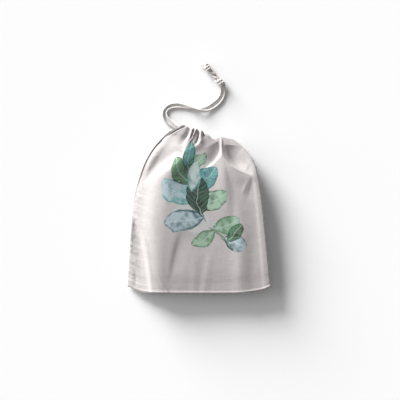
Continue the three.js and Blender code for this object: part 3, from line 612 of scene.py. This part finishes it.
def panel_rows(across, up, plan_of, height_of, hem_level, lip, ruffle=0):
    """One panel as a grid of points in mm, its flat cloth's u and v with them: rows up to the mouth, then
    the hem rolled through half an ellipse and laid back inside. ruffle is how far the mouth's line stands
    out for each mm that it stands high."""
    a, b = np.meshgrid(across, up)
    x, y = plan_of(a, b)
    rows = np.stack([x, y, height_of(a, b)], axis=-1)
    cloth = np.stack([a * FLAT_WIDTH, b * FLAT_HEIGHT], axis=-1)
    top = rows[-1]
    below = np.column_stack(plan_of(across, np.full_like(across, BELOW_MOUTH)))
    outward = np.column_stack([top[:, :2] - below, np.zeros(len(across))])
    outward /= np.linalg.norm(outward, axis=1)[:, None]
    stands_out = ruffle * (top[:, 2] - np.median(top[:, 2]))
    rows = rows + within(b, BELOW_MOUTH, 1)[:, :, None] * (outward * stands_out[:, None])[None]
    top = rows[-1]
    deep = HEM_LEAST + (1 - HEM_LEAST) * within(across, *HEM_OPENS) * (1 - within(across, *HEM_CLOSES))
    half = (top[:, 2] - hem_level) / 2
    for curl, depth in [(curl, 0) for curl in HEM_CURL] + [(180, depth) for depth in HEM_BACK]:
        angle = math.radians(curl)
        row = top + outward * (lip * math.sin(angle) - depth * HEM_DEPTH * deep)[:, None]
        row[:, 2] = hem_level + half + half * math.cos(angle)
        v = FLAT_HEIGHT + HEM_ROLL * curl / 180 + depth * HEM_DEPTH
        flat = np.column_stack([across * FLAT_WIDTH, np.full_like(across, v)])
        rows = np.concatenate([rows, row[None]])
        cloth = np.concatenate([cloth, flat[None]])
    return rows, cloth


def cloth_sheet(rows, thickness):
    """A closed sheet around a grid: each point moved half the thickness to both sides along the normal,
    which is the cross product of the steps along the two directions."""
    p = rows * MM
    normal = np.cross(np.gradient(p, axis=1), np.gradient(p, axis=0))
    normal /= np.linalg.norm(normal, axis=2)[:, :, None]
    high, wide = p.shape[:2]
    outer, inner = (p + side * thickness / 2 * normal for side in (1, -1))
    points = np.concatenate([outer.reshape(-1, 3), inner.reshape(-1, 3)])
    top = grid_faces(high, wide)
    bottom = grid_faces(high, wide, high * wide)[:, ::-1]
    index = np.arange(high * wide).reshape(high, wide)
    rim = np.concatenate([index[0, :], index[1:, -1], index[-1, -2::-1], index[-2:0:-1, 0]])
    after = np.roll(rim, -1)
    wall = np.column_stack([rim, rim + high * wide, after + high * wide, after])
    return points, np.concatenate([top, bottom, wall])


def lay_cloth_map(piece, cloth):
    """The flat cloth's u and v, in metres, as the piece's UV map."""
    flat = np.tile(cloth.reshape(-1, 2), (2, 1)) * MM
    corner = np.zeros(len(piece.data.loops), np.int32)
    piece.data.loops.foreach_get("vertex_index", corner)
    layer = piece.data.uv_layers.new(name="cloth")
    layer.data.foreach_set("uv", flat[corner].ravel().astype(np.float32))


THREAD = "#bdb9b5"
STITCH = {
    "from_edge": 15 * MM, "half_width": 0.4 * MM, "crease": 2 * MM, "apart": 3.2 * MM, "share": 0.7,
    "fade": 0.06,
}


def hem_stitches(tree, flat):
    """The lockstitch row that holds the hem: dashes of thread along the mouth, and the shallow crease that
    they pull into the cloth."""
    split = add(tree, "SeparateXYZ", links={"Vector": flat})
    row = FLAT_HEIGHT * MM - STITCH["from_edge"]
    off = add(tree, "Math", {1: row}, {0: split.outputs["Y"]}, operation="SUBTRACT")
    off = add(tree, "Math", links={0: off.outputs[0]}, operation="ABSOLUTE")
    line = add(tree, "MapRange", {"From Min": STITCH["half_width"] / 2, "From Max": STITCH["half_width"],
                                  "To Min": 1.0, "To Max": 0.0}, {"Value": off.outputs[0]})
    count = add(tree, "Math", {1: 1 / STITCH["apart"]}, {0: split.outputs["X"]}, operation="MULTIPLY")
    part = add(tree, "Math", links={0: count.outputs[0]}, operation="FRACT")
    dash = add(tree, "MapRange", {"From Min": STITCH["share"], "From Max": STITCH["share"] + STITCH["fade"],
                                  "To Min": 1.0, "To Max": 0.0}, {"Value": part.outputs[0]})
    stitch = add(tree, "Math", links={0: line.outputs["Result"], 1: dash.outputs["Result"]},
                 operation="MULTIPLY")
    crease = add(tree, "MapRange", {"From Min": 0.0, "From Max": STITCH["crease"],
                                    "To Min": -1.0, "To Max": 0.0},
                 {"Value": off.outputs[0]}, interpolation_type="SMOOTHSTEP")
    return stitch.outputs[0], crease.outputs["Result"]


# mm from a side seam where the crumple is full and where it has faded out
CRUMPLE_FULL = 6
CRUMPLE_REACH = 26


def seam_crumple(tree, flat):
    """Where the side seams' thread draws the cloth in, it crumples: a slanted noise of 7 by 11 mm, times a
    smooth step that falls to nothing beside each seam."""
    place = add(tree, "Mapping", {"Rotation": (0, 0, 0.6), "Scale": (90.0, 150.0, 1.0)}, {"Vector": flat})
    crumple = add(tree, "TexNoise", {"Scale": 1.0, "Detail": 2.0, "Roughness": 0.5},
                  {"Vector": place.outputs["Vector"]})
    split = add(tree, "SeparateXYZ", links={"Vector": flat})
    off = add(tree, "Math", {1: FLAT_WIDTH / 2 * MM}, {0: split.outputs["X"]}, operation="SUBTRACT")
    off = add(tree, "Math", links={0: off.outputs[0]}, operation="ABSOLUTE")
    near = add(tree, "MapRange", {"From Min": (FLAT_WIDTH / 2 - CRUMPLE_REACH) * MM,
                                  "From Max": (FLAT_WIDTH / 2 - CRUMPLE_FULL) * MM,
                                  "To Min": 0.0, "To Max": 1.0},
               {"Value": off.outputs[0]}, interpolation_type="SMOOTHSTEP")
    return add(tree, "Math", links={0: crumple.outputs["Fac"], 1: near.outputs["Result"]},
               operation="MULTIPLY").outputs[0]


# twice the real spacing, so that the threads show
THREADS_APART = 1.2 * MM


def plain_cotton(name):
    """Plain-weave cotton canvas, washed and matt: an off-white that is a little warm, with slubs 17 mm long
    and 1.4 mm wide along both thread directions. The weave is the sine of u times the sine of v."""
    material, tree, surface = new_material(name)
    flat = add(tree, "UVMap", uv_map="cloth").outputs["UV"]
    sway = add(tree, "TexNoise", {"Scale": 90.0, "Detail": 1.0}, {"Vector": flat})
    sway = add(tree, "VectorMath", {"Scale": 2.4 * MM}, {0: sway.outputs["Color"]}, operation="SCALE")
    swayed = add(tree, "VectorMath", links={0: flat, 1: sway.outputs["Vector"]}, operation="ADD")
    split = add(tree, "SeparateXYZ", links={"Vector": swayed.outputs["Vector"]})
    waves = []
    for axis in "XY":
        turn = add(tree, "Math", {1: 2 * math.pi / THREADS_APART}, {0: split.outputs[axis]},
                   operation="MULTIPLY")
        waves.append(add(tree, "Math", links={0: turn.outputs[0]}, operation="SINE"))
    weave = add(tree, "Math", links={0: waves[0].outputs[0], 1: waves[1].outputs[0]}, operation="MULTIPLY")
    slubs = []
    for stretch in ((60.0, 700.0, 1.0), (700.0, 60.0, 1.0)):
        along = add(tree, "Mapping", {"Scale": stretch}, {"Vector": flat})
        slubs.append(add(tree, "TexNoise", {"Scale": 1.0, "Detail": 2.0},
                         {"Vector": along.outputs["Vector"]}))
    slub = add(tree, "Math", links={0: slubs[0].outputs["Fac"], 1: slubs[1].outputs["Fac"]}, operation="ADD")
    thread = add(tree, "Math", {1: 0.25}, {0: weave.outputs[0], 2: slub.outputs[0]}, operation="MULTIPLY_ADD")
    shade = add(tree, "MapRange", {"From Min": 0.7, "From Max": 1.35, "To Min": 0.0, "To Max": 1.0},
                {"Value": slub.outputs[0]})
    ground = add(tree, "Mix", {6: linear("#afaaa9"), 7: linear("#bbb6b5")}, {0: shade.outputs["Result"]},
                 data_type="RGBA")
    wrinkle = add(tree, "TexNoise", {"Scale": 55.0, "Detail": 4.0, "Roughness": 0.55}, {"Vector": flat})
    soft = add(tree, "Bump", {"Strength": 0.35, "Distance": 1.2 * MM}, {"Height": wrinkle.outputs["Fac"]})
    soft = add(tree, "Bump", {"Strength": 0.8, "Distance": 2 * MM},
               {"Height": seam_crumple(tree, flat), "Normal": soft.outputs["Normal"]})
    bump = add(tree, "Bump", {"Strength": 0.5, "Distance": 0.3 * MM},
               {"Height": thread.outputs[0], "Normal": soft.outputs["Normal"]})
    stitch, crease = hem_stitches(tree, flat)
    sewn = add(tree, "Math", {1: 1.6}, {0: stitch, 2: crease}, operation="MULTIPLY_ADD")
    bump = add(tree, "Bump", {"Strength": 0.6, "Distance": 0.4 * MM},
               {"Height": sewn.outputs[0], "Normal": bump.outputs["Normal"]})
    ground = add(tree, "Mix", {7: linear(THREAD)}, {0: stitch, 6: ground.outputs[2]}, data_type="RGBA")
    tree.links.new(ground.outputs[2], surface.inputs["Base Color"])
    tree.links.new(bump.outputs["Normal"], surface.inputs["Normal"])
    surface.inputs["Roughness"].default_value = 0.95
    surface.inputs["Specular IOR Level"].default_value = 0.15
    surface.inputs["Sheen Weight"].default_value = 0.08
    surface.inputs["Sheen Roughness"].default_value = 0.6
    return material


# Watercolour pigments as they dry on the cloth, and the leaves in the order they are painted. u and v are
# a leaf's foot on the flat cloth and turn its direction, in mm and degrees, and bow bends it by a share of
# its width. body is how far it covers what is below it.
PIGMENT = {
    "forest": "#2c4636", "moss": "#4a7350", "sage": "#8fae96", "teal": "#4f8e8c", "deep": "#25505c",
    "mist": "#a3b6bd", "ink": "#1f3129", "pale": "#c3cfcd",
}
LEAVES = [
    # u, v, turn, length, half width, bow, body, pigment where it pools, pigment where it thins
    (98, 150, 72, 108, 36, 0.1, 0.3, "mist", "pale"),
    (150, 112, 150, 74, 22, -0.2, 0.3, "mist", "pale"),
    (196, 86, 141, 74, 2.2, 0.9, 0.9, "forest", "moss"),
    (141, 132, 122, 76, 2.4, 0.9, 0.9, "forest", "moss"),
    (106, 196, 94, 58, 2, -0.6, 0.8, "forest", "moss"),
    (133, 143, 194, 66, 17, 0.2, 0.9, "deep", "mist"),
    (120, 163, 22, 60, 18, -0.2, 0.9, "forest", "sage"),
    (119, 166, 158, 70, 20, 0.16, 0.92, "teal", "mist"),
    (110, 186, 48, 64, 17, -0.22, 0.9, "deep", "teal"),
    (108, 190, 131, 60, 16, 0.2, 0.9, "forest", "moss"),
    (130, 146, 98, 62, 20, 0.12, 0.92, "ink", "forest"),
    (104, 214, 66, 52, 12, -0.18, 0.88, "moss", "sage"),
    (103, 216, 104, 58, 14, 0.14, 0.92, "forest", "teal"),
    (112, 180, 86, 56, 13, 0.1, 0.8, "teal", "pale"),
    (152, 122, 216, 44, 12, 0.2, 0.9, "moss", "sage"),
    (150, 124, 20, 50, 15, -0.2, 0.92, "moss", "sage"),
    (166, 110, -28, 42, 13, 0.2, 0.92, "forest", "mist"),
    (172, 106, 44, 38, 11, -0.2, 0.9, "ink", "moss"),
]
DROPS = {"apart": 11, "centre": (135, 160), "reach": 84}
# In mm: how ragged a leaf's edge is, how softly it ends, and between which distances the pooled pigment and
# the middle vein fade. The side veins turn by veins radians in each mm along the leaf, slant less across it.
BRUSH = {"ragged": 1.6, "soft": 0.7, "pool": (0.5, 4.5), "vein": (0.25, 0.8), "veins": 0.85, "slant": 0.7}
# in mm: the patches that the whole spray drifts by, and how far, the noise along the edges and the washes
DRIFT = (30, 14)
RAGGED = 2.4
WASH = 13


def paint_leaf(tree, under, place, edge, wash, leaf):
    """One leaf brushed over the colour below it, as a colour output.

    Along the leaf s runs from 0 to 1 and across it t from -1 to 1. Its half-width is a power of 4 s (1 - s),
    and how far a point is inside is that less the size of t, roughened by the edge noise.
    """
    u, v, turn, length, half_width, bow, body, pooled, thin = leaf
    own = add(tree, "Mapping", {"Location": (u, v, 0), "Rotation": (0, 0, math.radians(turn)),
                                "Scale": (length, half_width, 1)}, {"Vector": place}, vector_type="TEXTURE")
    own = add(tree, "SeparateXYZ", links={"Vector": own.outputs["Vector"]})
    rest = add(tree, "Math", {0: 1}, {1: own.outputs["X"]}, operation="SUBTRACT")
    hump = add(tree, "Math", links={0: own.outputs["X"], 1: rest.outputs[0]}, operation="MULTIPLY")
    hump = add(tree, "Math", {1: 0}, {0: hump.outputs[0]}, operation="MAXIMUM")
    bent = add(tree, "Math", {1: -4 * bow}, {0: hump.outputs[0], 2: own.outputs["Y"]},
               operation="MULTIPLY_ADD")
    off = add(tree, "Math", links={0: bent.outputs[0]}, operation="ABSOLUTE")
    width = add(tree, "Math", {1: 4}, {0: hump.outputs[0]}, operation="MULTIPLY")
    width = add(tree, "Math", {1: 0.72}, {0: width.outputs[0]}, operation="POWER")
    inside = add(tree, "Math", links={0: width.outputs[0], 1: off.outputs[0]}, operation="SUBTRACT")
    inside = add(tree, "Math", {1: BRUSH["ragged"] / half_width}, {0: edge, 2: inside.outputs[0]},
                 operation="MULTIPLY_ADD")
    cover = add(tree, "MapRange", {"From Min": 0.0, "From Max": BRUSH["soft"] / half_width,
                                   "To Min": 0.0, "To Max": body},
                {"Value": inside.outputs[0]}, interpolation_type="SMOOTHSTEP")
    narrow, wide = (size / half_width for size in BRUSH["pool"])
    rim = add(tree, "MapRange", {"From Min": narrow, "From Max": wide, "To Min": 0.55, "To Max": -0.12},
              {"Value": inside.outputs[0]})
    pool = add(tree, "Math", links={0: wash, 1: rim.outputs["Result"]}, operation="ADD")
    foot = add(tree, "Math", {1: -0.5}, {0: own.outputs["X"], 2: pool.outputs[0]}, operation="MULTIPLY_ADD")
    pool = add(tree, "MapRange", {"From Min": -0.05, "From Max": 0.62, "To Min": 0.0, "To Max": 1.0},
               {"Value": foot.outputs[0]})
    paint = add(tree, "Mix", {6: linear(PIGMENT[thin]), 7: linear(PIGMENT[pooled])},
                {0: pool.outputs["Result"]}, data_type="RGBA")
    slant = add(tree, "Math", {1: -BRUSH["slant"] * half_width}, {0: off.outputs[0]}, operation="MULTIPLY")
    slant = add(tree, "Math", {1: BRUSH["veins"] * length},
                {0: own.outputs["X"], 2: slant.outputs[0]}, operation="MULTIPLY_ADD")
    side_vein = add(tree, "Math", links={0: slant.outputs[0]}, operation="SINE")
    side_vein = add(tree, "MapRange", {"From Min": 0.93, "From Max": 1.0, "To Min": 0.0, "To Max": 0.3},
                    {"Value": side_vein.outputs[0]})
    narrow, wide = (size / half_width for size in BRUSH["vein"])
    vein = add(tree, "MapRange", {"From Min": narrow, "From Max": wide, "To Min": 0.55, "To Max": 0.0},
               {"Value": off.outputs[0]})
    vein = add(tree, "Math", links={0: vein.outputs["Result"], 1: side_vein.outputs["Result"]},
               operation="MAXIMUM")
    paint = add(tree, "Mix", {7: linear(PIGMENT["pale"])}, {0: vein.outputs[0], 6: paint.outputs[2]},
                data_type="RGBA")
    return add(tree, "Mix", links={0: cover.outputs["Result"], 6: under, 7: paint.outputs[2]},
               data_type="RGBA").outputs[2]


def print_leaves(material):
    """A spray of watercolour leaves printed over the cloth's colour: washes that pool darker along their
    edges and thin to pale in the middle, pale veins and a scatter of drops. The ink follows every thread."""
    tree = material.node_tree
    surface = next(node for node in tree.nodes if node.type == "BSDF_PRINCIPLED")
    ground = surface.inputs["Base Color"].links[0].from_socket
    flat = add(tree, "UVMap", uv_map="cloth").outputs["UV"]
    flat = add(tree, "VectorMath", {1: (1000, 1000, 0)}, {0: flat}, operation="MULTIPLY").outputs["Vector"]
    noises = [
        add(tree, "TexNoise", {"Scale": 1 / size, "Detail": detail, "Roughness": 0.55}, {"Vector": flat})
        for size, detail in ((DRIFT[0], 2.0), (RAGGED, 3.0), (WASH, 4.0))
    ]
    drift = add(tree, "VectorMath", {1: (0.5, 0.5, 0.5)}, {0: noises[0].outputs["Color"]},
                operation="SUBTRACT")
    drift = add(tree, "VectorMath", {"Scale": DRIFT[1]}, {0: drift.outputs["Vector"]}, operation="SCALE")
    place = add(tree, "VectorMath", links={0: flat, 1: drift.outputs["Vector"]}, operation="ADD")
    place = place.outputs["Vector"]
    edge = add(tree, "Math", {1: 0.5}, {0: noises[1].outputs["Fac"]}, operation="SUBTRACT").outputs[0]
    wash = add(tree, "MapRange", {"From Min": 0.36, "From Max": 0.64, "To Min": 0.0, "To Max": 0.8},
               {"Value": noises[2].outputs["Fac"]}).outputs["Result"]
    colour = ground
    for leaf in LEAVES:
        colour = paint_leaf(tree, colour, place, edge, wash, leaf)
    cells = add(tree, "TexVoronoi", {"Scale": 1 / DROPS["apart"], "Randomness": 1.0}, {"Vector": flat})
    size = add(tree, "SeparateColor", links={"Color": cells.outputs["Color"]})
    radius = add(tree, "MapRange", {"From Min": 0.45, "From Max": 1.0, "To Min": 0.0, "To Max": 0.12},
                 {"Value": size.outputs["Red"]})
    near = add(tree, "VectorMath", {1: (*DROPS["centre"], 0)}, {0: flat}, operation="DISTANCE")
    near = add(tree, "MapRange", {"From Min": DROPS["reach"] * 0.7, "From Max": DROPS["reach"], "To Min": 1.0,
                                  "To Max": 0.0}, {"Value": near.outputs["Value"]})
    radius = add(tree, "Math", links={0: radius.outputs["Result"], 1: near.outputs["Result"]},
                 operation="MULTIPLY")
    drop = add(tree, "Math", links={0: radius.outputs[0], 1: cells.outputs["Distance"]}, operation="SUBTRACT")
    drop = add(tree, "MapRange", {"From Min": 0.0, "From Max": 0.03, "To Min": 0.0, "To Max": 0.8},
               {"Value": drop.outputs[0]})
    tint = add(tree, "MapRange", {"From Min": 0.3, "From Max": 0.7, "To Min": 0.0, "To Max": 1.0},
               {"Value": size.outputs["Green"]})
    dot = add(tree, "Mix", {6: linear(PIGMENT["forest"]), 7: linear(PIGMENT["pale"])},
              {0: tint.outputs["Result"]}, data_type="RGBA")
    colour = add(tree, "Mix", links={0: drop.outputs["Result"], 6: colour, 7: dot.outputs[2]},
                 data_type="RGBA").outputs[2]
    tree.links.new(colour, surface.inputs["Base Color"])
    return material


def lines_in(*stretches):
    """The shares at which a panel's rows or columns lie: stretches with an even step, each given by its
    start, its end and how many lines it holds, that share the line where they meet."""
    return np.unique(np.concatenate([np.linspace(*stretch) for stretch in stretches]))


FRONT_MATERIAL = print_leaves(plain_cotton("plain-weave cotton canvas, screen printed"))
front_across = lines_in((0, 0.05, 16), (0.05, 0.9, 184), (0.9, 1, 30))
front_up = lines_in((0, 0.11, 26), (0.11, 0.7, 84), (0.7, 1, 84))
front_rows, front_cloth = panel_rows(
    front_across, front_up, front_plan, front_height, FRONT_HEM_LEVEL, FRONT_LIP, FRONT_RUFFLE
)
front = new_piece("front_cloth", *cloth_sheet(front_rows, CLOTH), FRONT_MATERIAL, "front_cotton")
lay_cloth_map(front, front_cloth)
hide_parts("front_panel")


# Back panel
# The same rectangle underneath. It lies flat, turns up only along its edges to the seams, and shows past
# the left seam where the drawn cord pulls the front inwards.
BACK_HEM_LEVEL = 6.9
BACK_LIP = 1.4
BACK_REST = 0.6
BULGE_WAY = (-0.85, 0.5)
# lift is the share of the way up to the edge line, bulge and lip in mm across and as a share up
BACK_ACROSS = table(
    "across lift bulge lip",
    (0, 1, 0, 0),
    (0.008, 0.99, 3.6, 0.35),
    (0.018, 0.92, 5.8, 1),
    (0.03, 0.7, 6.4, 0),
    (0.045, 0.42, 5, 0),
    (0.065, 0.2, 2.4, 0),
    (0.11, 0, 0, 0),
    (0.89, 0, 0, 0),
    (0.935, 0.2, 0, 0),
    (0.965, 0.6, 0, 0),
    (0.988, 0.97, 0, 0),
    (1, 1, 0, 0),
)
BACK_UP = table(
    "up lift bulge lip",
    (0, 1, 0, 0),
    (0.01, 0.97, 0, 0),
    (0.03, 0.55, 0, 0),
    (0.06, 0.15, 0, 0),
    (0.1, 0, 0, 0),
    (0.38, 0, 0, 0),
    (0.44, 0, 0.5, 0),
    (0.5, 0, 0.92, 0),
    (0.58, 0, 1, 1.2),
    (0.66, 0, 1, 2.8),
    (0.84, 0, 1, 2.8),
    (0.91, 0, 0.98, 0.8),
    (0.94, 0, 0.75, 0),
    (1, 0, 0, 0),
)


def back_plan(across, up):
    """The back's place in plan, pushed out past the left seam by the bulge."""
    x, y = plan(across, up)
    out = read(BACK_ACROSS, "across", "bulge", across) * read(BACK_UP, "up", "bulge", up)
    return x + out * BULGE_WAY[0], y + out * BULGE_WAY[1]


def back_height(across, up):
    """Flat on the surface, up to the edge line near the sides and the bottom, and a rolled lip outside
    the left seam."""
    flat = (1 - read(BACK_ACROSS, "across", "lift", across)) * (1 - read(BACK_UP, "up", "lift", up))
    lip = read(BACK_ACROSS, "across", "lip", across) * read(BACK_UP, "up", "lip", up)
    return BACK_REST + (edge_height(across, up, "back") - BACK_REST) * (1 - flat) + lip


BACK_MATERIAL = plain_cotton("plain-weave cotton canvas, plain")
back_across = lines_in((0, 0.11, 16), (0.11, 0.89, 80), (0.89, 1, 16))
back_up = lines_in((0, 0.1, 14), (0.1, 0.86, 70), (0.86, 1, 34))
back_rows, back_cloth = panel_rows(back_across, back_up, back_plan, back_height, BACK_HEM_LEVEL, BACK_LIP)
back = new_piece("back_cloth", *cloth_sheet(back_rows, CLOTH), BACK_MATERIAL, "back_cotton")
lay_cloth_map(back, back_cloth)
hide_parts("back_panel")


# Surface and light
# A seamless white table top under a large soft light from the upper left, with a wider and weaker one
# beside it, both low enough to model every fold, in a bright white room.
FLOOR_HALF = 6.0
# strength, elevation, compass way it comes from and spread, the last three in degrees
LIGHTS = [
    ("soft_key", 7.4, 15, 126, 33),
    ("side_window", 1.9, 14, 158, 64),
]
ROOM = 0.25


def white_table():
    """Matt white laminate under studio light: near white, with hardly any gloss."""
    material, _, surface = new_material("white laminate, matt")
    surface.inputs["Base Color"].default_value = linear("#fafafa")
    surface.inputs["Roughness"].default_value = 0.9
    surface.inputs["Specular IOR Level"].default_value = 0.1
    return material


floor_mesh = bpy.data.meshes.new("table_top")
corners = [(sx * FLOOR_HALF, sy * FLOOR_HALF, 0) for sx, sy in ((-1, -1), (1, -1), (1, 1), (-1, 1))]
floor_mesh.from_pydata(corners, [], [(0, 1, 2, 3)])
floor_mesh.materials.append(white_table())
floor = bpy.data.objects.new("table_top", floor_mesh)
bpy.context.scene.collection.objects.link(floor)

for name, strength, elevation, comes_from, spread in LIGHTS:
    lamp = bpy.data.lights.new(name, "SUN")
    lamp.energy = strength
    lamp.angle = math.radians(spread)
    light = bpy.data.objects.new(name, lamp)
    light.rotation_euler = (math.radians(90 - elevation), 0, math.radians(comes_from + 90))
    bpy.context.scene.collection.objects.link(light)

room = bpy.data.worlds.new("white_room")
room.use_nodes = True
room.node_tree.nodes["Background"].inputs["Color"].default_value = (1, 1, 1, 1)
room.node_tree.nodes["Background"].inputs["Strength"].default_value = ROOM
bpy.context.scene.world = room
bpy.context.scene.view_settings.view_transform = "Standard"
